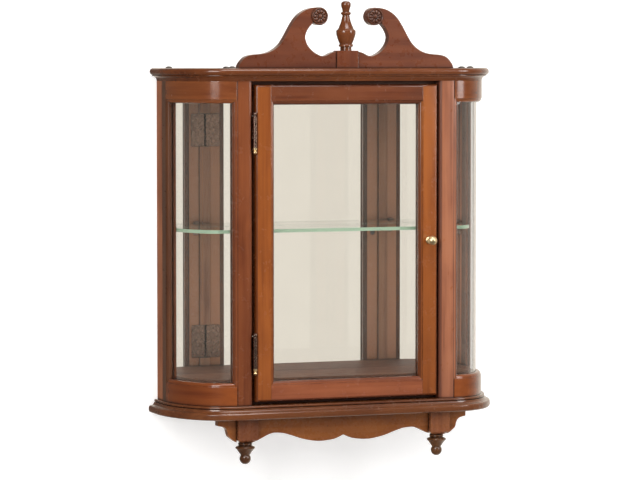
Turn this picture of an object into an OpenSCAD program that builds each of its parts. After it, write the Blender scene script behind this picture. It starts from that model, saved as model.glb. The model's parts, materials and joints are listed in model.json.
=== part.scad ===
/* [Cabinet body] */
// Width of the body across its two rear side boards
body_w = 580; // [560:5:610]
// Depth of the body, from the wall to the front face
body_d = 165; // [158:1:180]
// Height of the body, between the base board and the cornice
body_h = 552; // [500:2:620]
// Width across the outer sides of the two front posts
front_w = 400; // [390:2:420]
// Depth of the straight stretch of each side, next to the wall
side_flat = 41; // [36:1:46]
// Cosine of the heading at which a side's tight bend becomes its wide one
bend_cos = 0.6; // [0.5:0.02:0.7]
// Thickness of the curved rails, seen from above
rail_t = 18; // [17:0.5:20]
// Height of the curved top rail's face
top_rail_h = 31; // [26:1:40]
// Height of the curved bottom rail's face
low_rail_h = 33; // [30:1:40]

/* [Posts and boards] */
// Width of each front post
post_w = 28.5; // [26:0.5:34]
// Depth of each front post
post_t = 20; // [19:0.5:24]
// Radius of the post's inner front edge
post_round = 6; // [3:0.5:8]
// Radius of the post's outer front edge, beside the curved rails
post_round_out = 3; // [2:0.5:3]
// Depth of each rear side board
side_board_d = 30; // [28:1:34]
// Thickness of each rear side board
side_board_t = 18; // [16:0.5:20]
// Width of the rear stile of each curved side
stile_d = 20; // [16:1:26]
// Thickness of the floor board
floor_t = 14; // [10:0.5:18]
// Height of the floor board's top above the base board
floor_top = 44; // [42:0.5:50]
// Height of the rail that the cabinet hangs by
hang_rail_h = 38; // [34:1:46]
// Thickness of the two rear cross rails, which lie behind the mirror and its panel
back_rail_t = 13; // [12:0.5:15]
// Thickness of the two cross rails behind the door
front_rail_t = 18; // [15:0.5:22]
// Height of the cross rail behind the top of the door
front_top_h = 26; // [20:0.5:28]

/* [Cornice and base] */
// Thickness of the crown board
crown_t = 12; // [9:0.5:16]
// How far the crown board stands out from the body
crown_out = 12.5; // [10:0.5:18]
// Thickness of the coved board under the crown board
cove_t = 10; // [9:0.5:14]
// Radius of the cove
cove_r = 8.5; // [6:0.5:9]
// Thickness of the base board
base_t = 23; // [21:0.5:28]
// How far the base board's lower nose stands out from the body
base_out = 16; // [14:0.5:20]
// How far the base board's upper lip stands out from the body
lip_out = 6; // [4:0.5:7]

/* [Door] */
// Gap between the door and the left post, where the hinges sit
door_gap_l = 5.5; // [5:0.1:7]
// Gap between the door and the right post
door_gap_r = 3.5; // [2:0.1:5]
// Gap between the door's bottom and the base board
door_gap_low = 6; // [3:0.5:8]
// Gap between the door's top and the cornice
door_gap_top = 6; // [3:0.5:8]
// Width of the door's stiles and rails
stile_w = 34.2; // [32:0.2:42]
// Radius of the door's outer front edges
door_round = 4.5; // [2:0.5:6]
// Width of the moulded edge round each pane
stick_w = 6.5; // [6:0.1:7.5]
// Depth from the door's face to its glass
pane_depth = 10.9; // [9:0.1:11.5]
// Radius of the moulded edge's round
stick_r = 5.4; // [4:0.1:5.8]
// Length of the tenons that join the door's rails and stiles
tenon_l = 18; // [12:1:22]

/* [Glass] */
// Thickness of the door glass and the bent side glass
pane_t = 3; // [2.5:0.1:3.5]
// Depth from the curved rail's face to the bent side glass
side_pane_depth = 9.5; // [8.5:0.1:10]
// Thickness of the glass shelf
shelf_t = 6; // [4:0.5:8]
// Height of the shelf's underside above the base board
shelf_z = 293; // [240:1:350]
// Gap from the body's outline to the shelf's edge
shelf_in = 20.5; // [20.3:0.1:26]
// Thickness of the back mirror
mirror_t = 3; // [2.5:0.5:4]
// Thickness of the back panel behind the mirror
panel_t = 4; // [3:0.5:5]

/* [Hinges and knob] */
// Distance of each hinge's middle from the door's nearer end
hinge_inset = 82; // [76:1:120]
// Length of each hinge's barrel
barrel_l = 57; // [45:1:64]
// Radius of each hinge's barrel
barrel_r = 3.6; // [3:0.1:3.8]
// Radius of each hinge pin
pin_r = 1.5; // [1:0.1:1.8]
// Thickness of the hinge leaves
leaf_t = 1.5; // [1:0.1:1.6]
// Width of the leaf on the back of each post
post_leaf_w = 22; // [16:0.5:24]
// Width of the leaf on the back of the door
door_leaf_w = 25; // [18:0.5:26]
// Radius of the knob's ball
knob_r = 8.2; // [6:0.1:10]
// Distance from the door's face to the middle of the knob's ball
knob_reach = 15; // [12:0.5:18]

/* [Pediment] */
// Thickness of the scroll boards
pediment_t = 17; // [12:0.5:20]
// Width of the centre plinth
plinth_w = 39; // [36:1:42]
// Height of the centre plinth
plinth_h = 30; // [29.5:0.5:34]
// Depth of the centre plinth
plinth_d = 19.5; // [19:0.5:26]
// Radius of each carved rosette
rosette_r = 14.5; // [12:0.5:15]
// Height of the turned finial above the plinth
finial_h = 85; // [76:1:92]

/* [Apron] */
// Side of each square corner block
block_w = 36; // [30:1:40]
// Height of each corner block, without its tapered foot
block_h = 37; // [34:0.5:44]
// Distance between the middles of the two corner blocks
block_span = 354; // [346:2:366]
// How far the corner blocks stand back from the body's front
block_back = 8; // [4:0.5:14]
// How far the apron stands back from the corner blocks
apron_back = 10; // [4:0.5:14]
// Thickness of the apron and the side brackets
apron_t = 15; // [10:0.5:18]
// Length of each turned drop below its corner block
drop_l = 37.8; // [34:0.2:42]

/* [Hanging] */
// Distance between the two wall screw holes
hanger_span = 406.4; // [360:0.4:440]
// Radius of each wall screw hole
hanger_hole_r = 2.75; // [2:0.25:3.5]
// Distance of the wall screw holes below the top of the body
hanger_drop = 18.5; // [16:0.5:20]

/* [Hidden] */
$fn = 96;

// Clearances
glass_gap = 0.3;
move_gap = 0.3;
hole_gap = 0.05;
tenon_gap = 0.15;
bead_gap = 0.1;
cope_gap = 0.05;
// A cut passes its piece's face by this much, and a wedge its arc by this many degrees
past = 1;
past_turn = 5;

// Finishes
wood = "#6b3a22";
dark_wood = "#4a2817";
brass = "#c2a14c";
old_brass = "#5c4a2e";
clear = "#cfe3dc80";
silver = "#d8dcd6";
steel = "#3a3632";

// Levels, counted from the wall screw holes
z_top = hanger_drop;
z_low = z_top - body_h;
z_crown = z_top + cove_t;
z_crown_top = z_crown + crown_t;
z_floor = z_low + floor_top;
z_floor_low = z_floor - floor_t;
z_base_low = z_low - base_t;

// The body's outline from above: a front, two bends and a straight to the wall
half_w = body_w / 2;
half_f = front_w / 2;
bend_x = half_w - half_f;
bend_y = body_d - side_flat;
bend_sin = sqrt(1 - bend_cos * bend_cos);
bend_turn = acos(bend_cos);
bend_step = (bend_y - bend_x) / (bend_sin + bend_cos - 1);
r_tight = bend_x - bend_step * (1 - bend_sin);
r_wide = r_tight + bend_step;
c_tight = [half_f, r_tight - body_d];
c_wide = [half_w - r_wide, -side_flat];

// Moulded edges and panes: a pane's rabbet starts at the sight line
stick_step = 1.1;
pane_rabbet = 8;
pane_over = pane_rabbet - stick_w;
side_pane_in = side_pane_depth + glass_gap;
side_bead_in = side_pane_in + pane_t + glass_gap;
side_cut_low = z_low + low_rail_h - pane_over;
side_cut_top = z_top - top_rail_h + pane_over;
side_sight_low = z_low + low_rail_h + stick_w;
side_sight_top = z_top - top_rail_h - stick_w;
post_sight = half_f + stick_w;

// Headings at the rear stile: its front edge, its sight line and its rabbet's end
function along(mm) = mm / r_wide * 180 / PI;
stile_turn = acos((side_board_d + stile_d - side_flat) / r_wide);
sight_turn = stile_turn - along(stick_w);
rabbet_turn = stile_turn + along(pane_over);

// Inside of the body
inner_x = half_w - side_board_t;
post_in = half_f - post_w;
post_back = post_t - body_d;
back_rabbet = back_rail_t + panel_t + mirror_t;
panel_back = -back_rail_t;
mirror_back = panel_back - panel_t;
rabbet_side = 8;
panel_low = z_floor_low - rabbet_side;
panel_top = z_top - hang_rail_h + rabbet_side;
panel_half = inner_x + rabbet_side;

// Door
door_left = door_gap_l - post_in;
door_right = post_in - door_gap_r;
door_low = z_low + door_gap_low;
door_top = z_top - door_gap_top;
door_mid = (door_low + door_top) / 2;
door_t = post_t - move_gap;
door_back = door_t - body_d;
block_part = stile_w - stick_w;
rabbet_at = stile_w - pane_rabbet;
pane_edge = rabbet_at + glass_gap;
bead_in = pane_depth + pane_t + 2 * glass_gap;
bead_step = 0.2;
tenon_t = 6.5;
tenon_edge = 5;
tenon_back = 1.7;
knob_x = door_right - (block_part + door_round) / 2;
knob_screw_r = 2;
knob_screw_in = 7;
knob_head_r = 4;
knob_head_t = 2.2;

// Door stops: how far each covers the door, and how far the post
stop_lap = 5;
stop_glue = 6.5;
stop_t = 4;
stop_end_gap = 1;

// Hinges, about an upright axis in front of the left gap
axis_x = door_left - door_gap_l / 2;
axis_y = -body_d - 3;
hinge_zs = [door_top - hinge_inset, door_low + hinge_inset];
knuckle = barrel_l / 3;
leaf_start = barrel_r + 0.4;
leaf_root = 2;
leaf_screw_r = 1.5;
leaf_screw_l = 10;
leaf_head_r = 2.9;
leaf_head_t = 1.2;
leaf_screw_step = barrel_l / 3;
post_screw_x = post_in + post_leaf_w / 2;
door_screw_x = door_left + door_leaf_w / 2;

// Shelf clips
clip_w = 8;
clip_t = 1.5;
clip_arm = 13;
clip_tab = 9;
clip_drop = 15;
clip_screw_drop = 8.5;
clip_x = half_f - post_w / 2;
clip_y = -(side_board_d + back_rabbet) / 2;
shelf_low = z_low + shelf_z;
shelf_front = post_back + 7;
shelf_back = -back_rabbet - 2;

// Magnetic catch and its strike plate
catch_w = 40;
catch_h = 12;
catch_d = 14;
catch_in = 43;
catch_x = door_right - catch_in;
catch_gap = 0.5;
pole_t = 0.6;
pole_h = 1.5;
strike_w = 30;
strike_h = 5;
strike_t = 1;
catch_y = door_back + strike_t + catch_gap;
catch_low = z_top - front_top_h - catch_h;
strike_low = door_top - rabbet_at + move_gap;

// Screws in the crown
crown_screw_r = 2.2;
crown_screw_l = 38;
crown_head_r = 6;
crown_head_t = 3.2;
crown_screws_at = [[half_w - rail_t / 2, -side_board_d - 12],
                   [half_f + 16, rail_t / 2 - body_d],
                   [154, -back_rail_t / 2]];

// Moulded boards: how far a swept edge reaches in, and how far its core reaches out
edge_in = 15;
core_in = 10;
nose_r = 4;
nose_h = 12.5;
lip_r = 2.5;

// Pediment, each line measured from the crown board's top
scroll_at = [50.5, 88.5];
scroll_r = 15.3;
dowel_r = 4;
dowel_l = 14;
petals = 10;
petal_r = 1.1;
plinth_front = pediment_t - body_d - plinth_d;
scroll_top = [[half_f - 3, 0], [half_f - 5, 6], [half_f - 9, 12], [half_f - 17, 19.5],
              [half_f - 29, 23], [157, 24], [144, 26.5], [132, 32], [121, 41], [111.5, 55],
              [101, 73.5], [91, 87.5], [80, 96.5], [68, 101.7], [55, 103.6]];
scroll_inner = [[63.5, 76], [70, 69], [75, 60], [76.5, 51], [72.5, 39.5], [63, 29],
                [52, 22.5], [44.5, 20.5], [37, 22], [29, 26], [20, 28.5], [12, 29]];

// Apron, each line measured down from the base board's underside
block_x = block_span / 2;
block_front = block_back - body_d;
block_mid = block_front + block_w / 2;
block_side = block_x - block_w / 2;
block_foot = 5;
block_foot_w = 20;
block_bottom = z_base_low - block_h - block_foot;
apron_front = block_front + apron_back;
apron_line = [[0, 35], [11, 40], [20, 42.5], [38, 44.5], [52, 44], [69, 41], [80, 38],
              [92, 33.8], [104, 30], [112, 28], [124, 27], [131, 27.5], [140, 30.5],
              [149, 35], [block_side, 39.5]];
wing_line = [[34, 11.6], [23.5, 14], [17.5, 19.5], [14.4, 29.8], [10, 34.2], [4, 39],
             [0, 41]];

// Shapes that repeat

// A wedge of the plane about c, from angle a0 to angle a1
module wedge(c, far, a0, a1) {
    mid = (a0 + a1) / 2;
    polygon([c, c + far * [cos(a0), sin(a0)], c + far * [cos(mid), sin(mid)],
             c + far * [cos(a1), sin(a1)]]);
}

// The right half of the body's outline, grown outwards by g, with its rear edge at y = back
module half_outline(g, back = 0) {
    polygon([[-past, -body_d - g], [half_f, -body_d - g],
             c_tight + r_tight / 2 * [cos(bend_turn - 95), sin(bend_turn - 95)],
             c_wide + r_wide / 2 * [cos(bend_turn / 2 - 45), sin(bend_turn / 2 - 45)],
             [half_w + g, -side_flat], [half_w + g, back], [-past, back]]);
    intersection() {
        translate(c_tight) circle(r_tight + g);
        wedge(c_tight, 2 * r_tight, -90 - past_turn, bend_turn - 90 + past_turn);
    }
    intersection() {
        translate(c_wide) circle(r_wide + g);
        wedge(c_wide, 2 * r_wide, bend_turn - 90, past_turn);
    }
}

// A piece made for the right side, set on the left
module left() mirror([1, 0, 0]) children();

// A piece made for the right side, set on both
module both() {
    children();
    left() children();
}

// Everything in the plane from y0 to y1
module band(y0, y1) translate([-body_w, y0]) square([2 * body_w, y1 - y0]);

// The right half's ring between two depths behind the outline
module ring(out, in) difference() {
    half_outline(-out);
    half_outline(-in, past);
}

// The ring from x0 on, as far as a heading on the wide bend
module side_ring(out, in, x0, turn) intersection() {
    ring(out, in);
    wedge(c_wide, 3 * r_wide, -90, turn - 90);
    translate([x0, -2 * body_d]) square(2 * body_d);
}

// Sweeps a section through a quarter turn about c, then keeps what lies between two headings
module bend(c, r, start, end) intersection() {
    translate(c) rotate(-90) rotate_extrude(angle = 90) translate([r, 0]) children();
    linear_extrude(body_h, center = true) wedge(c, 3 * r, start - 90, end - 90);
}

// Sweeps a section round the bends of the right side: x is outwards, y is up
module sweep_bends(end = 90 + past_turn) {
    bend(c_tight, r_tight, -past_turn, bend_turn) children();
    bend(c_wide, r_wide, bend_turn, end) children();
}

module sweep_side() {
    translate([half_w, 0, 0]) rotate([90, 0, 0]) linear_extrude(side_flat) children();
    sweep_bends() children();
}

// Sweeps a section round the front and both sides, over a flat core of height h
module moulded_board(z, h) translate([0, 0, z]) {
    both() linear_extrude(h) half_outline(-core_in);
    translate([half_f, -body_d, 0]) rotate(-90) rotate([90, 0, 0])
        linear_extrude(front_w) children();
    both() sweep_side() children();
}

module slab(x0, x1, y0, y1, z0, z1) translate([x0, y0, z0]) cube([x1 - x0, y1 - y0, z1 - z0]);

// An outline in x and z, extruded from y0 to y1
module upright(y0, y1) translate([0, y1, 0]) rotate([90, 0, 0]) linear_extrude(y1 - y0) children();

// A turned piece from its [radius, height] points
module turned(points) rotate_extrude() polygon(points);

// The same, made larger or smaller to a height
module turned_to(h, points) turned(h / last(points)[1] * points);

// A screw hole that starts at y = 0 and looks along -y
module pilot() rotate([90, 0, 0]) translate([0, 0, -past])
    cylinder(r = leaf_screw_r + hole_gap, h = leaf_screw_l + past);

// A small screw whose head lies on a plate of thickness t, and whose point looks along -y
module wood_screw(t) translate([0, t, 0]) rotate([90, 0, 0]) {
    translate([0, 0, -leaf_head_t]) cylinder(r = leaf_head_r, h = leaf_head_t);
    cylinder(r = leaf_screw_r, h = leaf_screw_l);
}

// Points of a round: centre, radius, first and last angle
function bow(c, r, a0, a1, n = 6) = [for (i = [0 : n]) let (a = a0 + (a1 - a0) * i / n)
    c + r * [cos(a), sin(a)]];

// A smooth line through points, with n steps between each two
function smooth(p, n = 4) = [for (i = [0 : len(p) - 2]) for (j = [0 : n - 1])
    let (a = p[max(i - 1, 0)], b = p[i], c = p[i + 1], d = p[min(i + 2, len(p) - 1)], t = j / n)
    0.5 * (2 * b + (c - a) * t + (2 * a - 5 * b + 4 * c - d) * t * t
        + (3 * b - a - 3 * c + d) * t * t * t)];

function last(p) = p[len(p) - 1];

// An outline turned over left to right, still drawn anticlockwise
function flip(p) = [for (i = [len(p) - 1 : -1 : 0]) [-p[i][0], p[i][1]]];

// Moulded edge of a pane: x from the sight line, y from the face
function stick_line(d) = concat([[0, d], [0, stick_step + stick_r]],
    bow([stick_r, stick_step + stick_r], stick_r, 180, 270), [[stick_w, stick_step]]);

// Cornice

module crown_shanks() for (s = [-1, 1]) for (p = crown_screws_at)
    translate([s * p[0], p[1], z_crown_top - crown_screw_l])
        cylinder(r = crown_screw_r + hole_gap, h = crown_screw_l + past);

module crown_board() color(wood) difference() {
    moulded_board(z_crown, crown_t) polygon(concat([[-edge_in, crown_t], [-edge_in, 0]],
        bow([crown_out - crown_t / 2, crown_t / 2], crown_t / 2, -90, 90, 10)));
    crown_shanks();
}

module cornice_board() color(wood) difference() {
    moulded_board(z_top, cove_t) polygon(concat([[-edge_in, cove_t], [-edge_in, 0]],
        bow([cove_r, 0], cove_r, 180, 90), [[cove_r, cove_t]]));
    crown_shanks();
}

module crown_screws() color(steel) for (s = [-1, 1]) for (p = crown_screws_at)
    translate([s * p[0], p[1], z_crown_top]) {
        turned(concat([[0, 0]], [for (a = [0 : 15 : 75])
            [crown_head_r * cos(a), crown_head_t * sin(a)]], [[0, crown_head_t]]));
        translate([0, 0, -crown_screw_l]) cylinder(r = crown_screw_r, h = crown_screw_l + past);
    }

// Pediment

module scroll_board() color(wood) translate([0, 0, z_crown_top])
    upright(-body_d, pediment_t - body_d) difference() {
        union() {
            polygon(concat([[0, 0]], smooth(scroll_top), [last(scroll_top)],
                bow(scroll_at, scroll_r - past, 78, -36, 1), smooth(scroll_inner),
                [last(scroll_inner), [0, last(scroll_inner)[1]]]));
            translate(scroll_at) circle(scroll_r);
        }
        translate([-past, -past]) square([plinth_w / 2 + past, plinth_h + past]);
    }

module rosette() color(dark_wood)
    translate([scroll_at[0], -body_d, z_crown_top + scroll_at[1]]) rotate([90, 0, 0])
        difference() {
            turned([[0, 0], [rosette_r, 0], [rosette_r, 2], [rosette_r - 1, 3],
                    [rosette_r - 2.4, 3.2], [rosette_r - 3.4, 2], [4, 2.6], [3.4, 3.8],
                    [1.8, 4.6], [0, 4.8]]);
            for (i = [0 : petals - 1]) rotate(360 / petals * i) translate([5, 0, 2.9])
                rotate([0, 90, 0]) cylinder(r = petal_r, h = rosette_r - 8.5);
        }

module finial_axis() translate([0, plinth_front + plinth_d / 2, z_crown_top + plinth_h])
    children();

module dowel_hole() cylinder(r = dowel_r + hole_gap, h = 2 * (dowel_l + move_gap), center = true);

module pediment_plinth() color(wood) difference() {
    slab(-plinth_w / 2, plinth_w / 2, plinth_front, pediment_t - body_d, z_crown_top,
         z_crown_top + plinth_h);
    finial_axis() dowel_hole();
}

module top_finial() color(wood) finial_axis() {
    turned_to(finial_h, concat([[0, 0], [9.7, 0], [9.7, 6], [12.4, 7], [12.4, 9.5], [10.9, 11.2]],
        smooth([[11, 12], [14, 19], [16.4, 27], [16.9, 32]]), [[16.6, 34.3], [13.2, 37.5]],
        smooth([[13, 38], [10.3, 44.6], [8.4, 50], [6.8, 56.6], [6, 61]]),
        [[8.2, 62.2], [8.8, 63.8], [8.2, 65.4], [6, 66.5], [6.3, 70]],
        smooth([[6.4, 70.5], [8, 75], [8.4, 79], [7.4, 82.6], [4, 84.6]]), [[0, 85]]));
    translate([0, 0, -dowel_l]) cylinder(r = dowel_r, h = dowel_l + past);
}

// Curved sides

// The moulded edge of an upright member, sunk a little into its own member, and grown by g
function upright_edge(g) = concat([[-g, side_pane_depth + g]],
    [for (p = stick_line(side_pane_depth)) if (p[1] < side_pane_depth) p - [g, g]],
    [[stick_w + past, stick_step - g], [stick_w + past, side_pane_depth + g]]);

module post_edge(g = 0) translate([post_sight, -body_d]) polygon(flip(upright_edge(g)));

module stile_edge(g = 0) translate(c_wide + r_wide * [sin(sight_turn), -cos(sight_turn)])
    rotate(sight_turn) polygon(upright_edge(g));

module front_post(hinged = false) color(wood) difference() {
    translate([0, 0, z_low]) linear_extrude(body_h) {
        polygon(concat([[half_f, post_back], [post_in, post_back]],
            bow([post_in + post_round, post_round - body_d], post_round, 180, 270),
            bow([half_f - post_round_out, post_round_out - body_d], post_round_out, 270, 360)));
        post_edge();
    }
    slab(post_sight - pane_rabbet, half_f + past, side_pane_depth - body_d, post_back + past,
         side_cut_low, side_cut_top);
    translate([clip_x, post_back, shelf_low - clip_screw_drop]) pilot();
    if (hinged) for (z = hinge_zs) for (i = [-1 : 1])
        translate([post_screw_x, post_back, z + i * leaf_screw_step]) pilot();
}

module rear_stile() color(wood) difference() {
    translate([0, 0, z_low]) linear_extrude(body_h) {
        intersection() {
            ring(0, rail_t);
            polygon([c_wide, c_wide + 3 * r_wide * [sin(stile_turn), -cos(stile_turn)],
                     [c_wide[0] + 3 * r_wide, -side_board_d], [c_wide[0], -side_board_d]]);
        }
        stile_edge();
    }
    translate([0, 0, side_cut_low]) linear_extrude(side_cut_top - side_cut_low)
        side_ring(side_pane_depth, rail_t + past, half_f, rabbet_turn);
    crown_shanks();
}

// A curved rail's section: x outwards from the outline, y from its outer edge to the opening
module rail_section(h) polygon(concat([[-rail_t, 0], [-rail_t, h - pane_over],
    [-side_pane_depth, h - pane_over]],
    [for (p = stick_line(side_pane_depth)) [-p[1], h + stick_w - p[0]]], [[0, h], [0, 0]]));

// What the upright members' moulded edges take from the rails
module edge_prisms() translate([0, 0, z_low - past]) linear_extrude(body_h + 2 * past) {
    post_edge(cope_gap);
    stile_edge(cope_gap);
}

module side_top_rail() color(wood) difference() {
    translate([0, 0, z_top]) mirror([0, 0, 1]) sweep_bends(stile_turn) rail_section(top_rail_h);
    edge_prisms();
    crown_shanks();
}

module side_bottom_rail() color(wood) difference() {
    translate([0, 0, z_low]) sweep_bends(stile_turn) rail_section(low_rail_h);
    edge_prisms();
}

module side_glass() color(clear) translate([0, 0, side_cut_low + glass_gap])
    linear_extrude(side_cut_top - side_cut_low - 2 * glass_gap)
        side_ring(side_pane_in, side_pane_in + pane_t, post_sight - pane_rabbet + glass_gap,
                  rabbet_turn - along(glass_gap));

module side_beads() color(wood) {
    for (z = [side_cut_low, side_sight_top]) translate([0, 0, z])
        linear_extrude(pane_rabbet) side_ring(side_bead_in, rail_t, half_f, stile_turn);
    translate([0, 0, side_sight_low + bead_gap])
        linear_extrude(side_sight_top - side_sight_low - 2 * bead_gap) {
        intersection() {
            ring(side_bead_in, rail_t);
            translate([post_sight - pane_rabbet, -body_d]) square([pane_rabbet, post_t]);
        }
        intersection() {
            ring(side_bead_in, rail_t);
            wedge(c_wide, 3 * r_wide, sight_turn - 90, rabbet_turn - 90);
        }
    }
}

module rear_side_board() color(wood) difference() {
    slab(inner_x, half_w, -side_board_d, 0, z_low, z_top);
    slab(inner_x - past, panel_half, -back_rabbet, past, panel_low, panel_top);
    translate([inner_x, clip_y, shelf_low - clip_screw_drop]) rotate(90) pilot();
}

// Rails across the body

module hanging_rail() color(wood) difference() {
    slab(-inner_x, inner_x, -back_rail_t, 0, z_top - hang_rail_h, z_top);
    for (s = [-1, 1]) translate([s * hanger_span / 2, 0, 0]) rotate([90, 0, 0])
        cylinder(r = hanger_hole_r, h = 3 * back_rail_t, center = true);
    crown_shanks();
}

module lower_back_rail() color(wood)
    slab(-inner_x, inner_x, -back_rail_t, 0, z_low, z_floor_low);

module front_top_rail() color(wood)
    slab(-half_f, half_f, post_back, post_back + front_rail_t, z_top - front_top_h, z_top);

module front_bottom_rail() color(wood)
    slab(-half_f, half_f, post_back, post_back + front_rail_t, z_low, z_floor_low);

// Strips that stop the door at both posts, left out beside the hinges
module door_stops() color(wood) {
    low = z_floor;
    top = z_top - front_top_h;
    half_hinge = barrel_l / 2 + stop_end_gap;
    slab(door_right - stop_lap, post_in + stop_glue, post_back, post_back + stop_t, low, top);
    for (z = [[low, hinge_zs[1] - half_hinge], [hinge_zs[1] + half_hinge, hinge_zs[0] - half_hinge],
              [hinge_zs[0] + half_hinge, top]])
        slab(-post_in - stop_glue, door_left + stop_lap, post_back, post_back + stop_t, z[0], z[1]);
}

module floor_board() color(wood) both() translate([0, 0, z_floor_low])
    linear_extrude(floor_t) intersection() {
        half_outline(-max(rail_t, side_board_t) - glass_gap, -back_rabbet - glass_gap);
        band(post_back + move_gap, 0);
    }

module base_board() color(wood) {
    nose_x = base_out - nose_r;
    lip_x = lip_out - lip_r;
    moulded_board(z_base_low, base_t) polygon(concat(
        [[-edge_in, base_t], [-edge_in, 0]],
        bow([nose_x, nose_r], nose_r, -90, 0, 4),
        bow([nose_x, nose_h - nose_r], nose_r, 0, 90, 4),
        bow([nose_x, base_t - 2 * lip_r], base_t - nose_h - 2 * lip_r, 264, 180, 6),
        bow([lip_x, base_t - lip_r], lip_r, -90, 90)));
}

// Back, shelf and catch

module mirror_pane() color(silver)
    slab(glass_gap - panel_half, panel_half - glass_gap, -back_rabbet, mirror_back,
         panel_low + glass_gap, panel_top - glass_gap);

module back_panel() color(dark_wood)
    slab(glass_gap - panel_half, panel_half - glass_gap, mirror_back, panel_back,
         panel_low + glass_gap, panel_top - glass_gap);

module glass_shelf() color(clear) both() translate([0, 0, shelf_low])
    linear_extrude(shelf_t) intersection() {
        half_outline(-shelf_in, shelf_back);
        band(shelf_front, 0);
    }

// Sets a piece at each of the four clip places: y runs inwards from the wood
module at_clips() for (s = [0, 1]) mirror([s, 0, 0]) {
    translate([clip_x, post_back, shelf_low]) children();
    translate([inner_x, clip_y, shelf_low]) rotate(90) children();
}

module shelf_clips() color(brass) at_clips() difference() {
    union() {
        slab(-clip_w / 2, clip_w / 2, 0, clip_t, -clip_drop, shelf_t + move_gap + clip_t);
        slab(-clip_w / 2, clip_w / 2, 0, clip_arm, -clip_t, 0);
        slab(-clip_w / 2, clip_w / 2, 0, clip_tab, shelf_t + move_gap,
             shelf_t + move_gap + clip_t);
    }
    translate([0, clip_t, -clip_screw_drop]) pilot();
}

module clip_screws() color(brass) at_clips() translate([0, 0, -clip_screw_drop])
    wood_screw(clip_t);

module magnetic_catch() color(steel) {
    slab(catch_x - catch_w / 2, catch_x + catch_w / 2, catch_y + pole_t, catch_y + catch_d,
         catch_low, catch_low + catch_h);
    for (z = [0.15, 0.7]) slab(catch_x - strike_w / 2, catch_x + strike_w / 2, catch_y,
        catch_y + catch_d / 2, catch_low + z * catch_h, catch_low + z * catch_h + pole_h);
}

module strike_plate() color(steel)
    slab(catch_x - strike_w / 2, catch_x + strike_w / 2, door_back, door_back + strike_t,
         strike_low, strike_low + strike_h);

// Apron

module front_apron() color(wood) upright(apron_front, apron_front + apron_t)
    translate([0, z_base_low]) {
        half = [for (p = concat(smooth(apron_line), [last(apron_line), [block_side, 0]]))
            [p[0], -p[1]]];
        polygon(concat(half, flip(half)));
    }

module wing_bracket() color(wood) upright(apron_front, apron_front + apron_t)
    translate([block_side + block_w, z_base_low]) mirror([0, 1])
        polygon(concat([[0, 0], [wing_line[0][0], 0]], smooth(wing_line), [last(wing_line)]));

// A corner block's outline seen from any side, widened to cut cleanly
module block_prism() rotate([90, 0, 0]) linear_extrude(2 * block_w, center = true)
    polygon([[-block_w / 2, 0], [-block_w / 2, -block_h], [-block_foot_w / 2, -block_h - block_foot],
             [block_foot_w / 2, -block_h - block_foot], [block_w / 2, -block_h], [block_w / 2, 0]]);

module drop_axis() translate([block_x, block_mid, block_bottom]) children();

module corner_block() color(wood) difference() {
    translate([block_x, block_mid, z_base_low]) intersection() {
        block_prism();
        rotate(90) block_prism();
    }
    drop_axis() dowel_hole();
}

module drop_finial() color(wood) drop_axis() {
    mirror([0, 0, 1]) turned_to(drop_l, concat([[0, 0], [10, 0], [12, 1], [12.3, 3],
        [11.2, 5], [13, 6], [16, 7.2], [17, 9], [16.4, 10.6]],
        smooth([[15, 11.6], [11, 17], [7.7, 22]]), bow([0, 28.1], 9.7, -38, 75, 9),
        [[0, 37.8]]));
    translate([0, 0, -past]) cylinder(r = dowel_r, h = dowel_l + past);
}

// Door

// The door frame's section: x from its outer edge, y from its face
module door_section() polygon(concat([[rabbet_at, door_t], [0, door_t]],
    bow([door_round, door_round], door_round, 180, 270), [[block_part, 0]],
    [for (p = flip(stick_line(pane_depth))) p + [stile_w, 0]],
    [[rabbet_at, pane_depth]]));

// The right stile's whole length, before its ends are rounded
module stile_bar() translate([door_right, -body_d, door_low]) mirror([1, 0, 0])
    linear_extrude(door_top - door_low) door_section();

// The door's outline from the side, with its two front edges rounded
module door_ends() translate([door_left - past, 0, 0]) rotate([90, 0, 90])
    linear_extrude(door_right - door_left + 2 * past) translate([-body_d, 0])
        polygon(concat([[door_t, door_top], [door_t, door_low]],
            bow([door_round, door_low + door_round], door_round, 270, 180),
            bow([door_round, door_top - door_round], door_round, 180, 90)));

module tenon(z0, z1, gap) slab(door_right - rabbet_at - past, door_right - rabbet_at + tenon_l + gap,
    door_back - tenon_back - tenon_t - gap, door_back - tenon_back + gap, z0 - gap, z1 + gap);

module low_tenon(gap) tenon(door_low + tenon_edge, door_low + rabbet_at - past, gap);

// Mirrors a piece about the door's own middle
module door_other() translate([door_left + door_right, 0, 0]) mirror([1, 0, 0]) children();

// Turns a piece made for the door's bottom to its top
module door_upper() translate([0, 0, door_low + door_top]) mirror([0, 0, 1]) children();

module door_stile() intersection() {
    difference() {
        stile_bar();
        low_tenon(tenon_gap);
        door_upper() low_tenon(tenon_gap);
    }
    door_ends();
}

module door_stile_right() color(wood) difference() {
    door_stile();
    translate([knob_x, 0, door_mid]) rotate([90, 0, 0])
        cylinder(r = knob_screw_r + hole_gap, h = body_d + past);
}

module door_stile_left() color(wood) difference() {
    door_other() door_stile();
    for (z = hinge_zs) for (i = [-1 : 1])
        translate([door_screw_x, door_back, z + i * leaf_screw_step]) pilot();
}

// The bottom rail, coped over the stiles' moulded edges, with its two tenons
module door_rail() color(wood) {
    difference() {
        intersection() {
            translate([door_left + rabbet_at, -body_d, door_low]) rotate([90, 0, 90])
                linear_extrude(door_right - door_left - 2 * rabbet_at)
                    rotate(90) mirror([0, 1]) door_section();
            door_ends();
        }
        stile_bar();
        door_other() stile_bar();
    }
    low_tenon(0);
    door_other() low_tenon(0);
}

module door_glass() color(clear)
    slab(door_left + pane_edge, door_right - pane_edge, pane_depth + glass_gap - body_d,
         pane_depth + glass_gap + pane_t - body_d, door_low + pane_edge, door_top - pane_edge);

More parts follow.
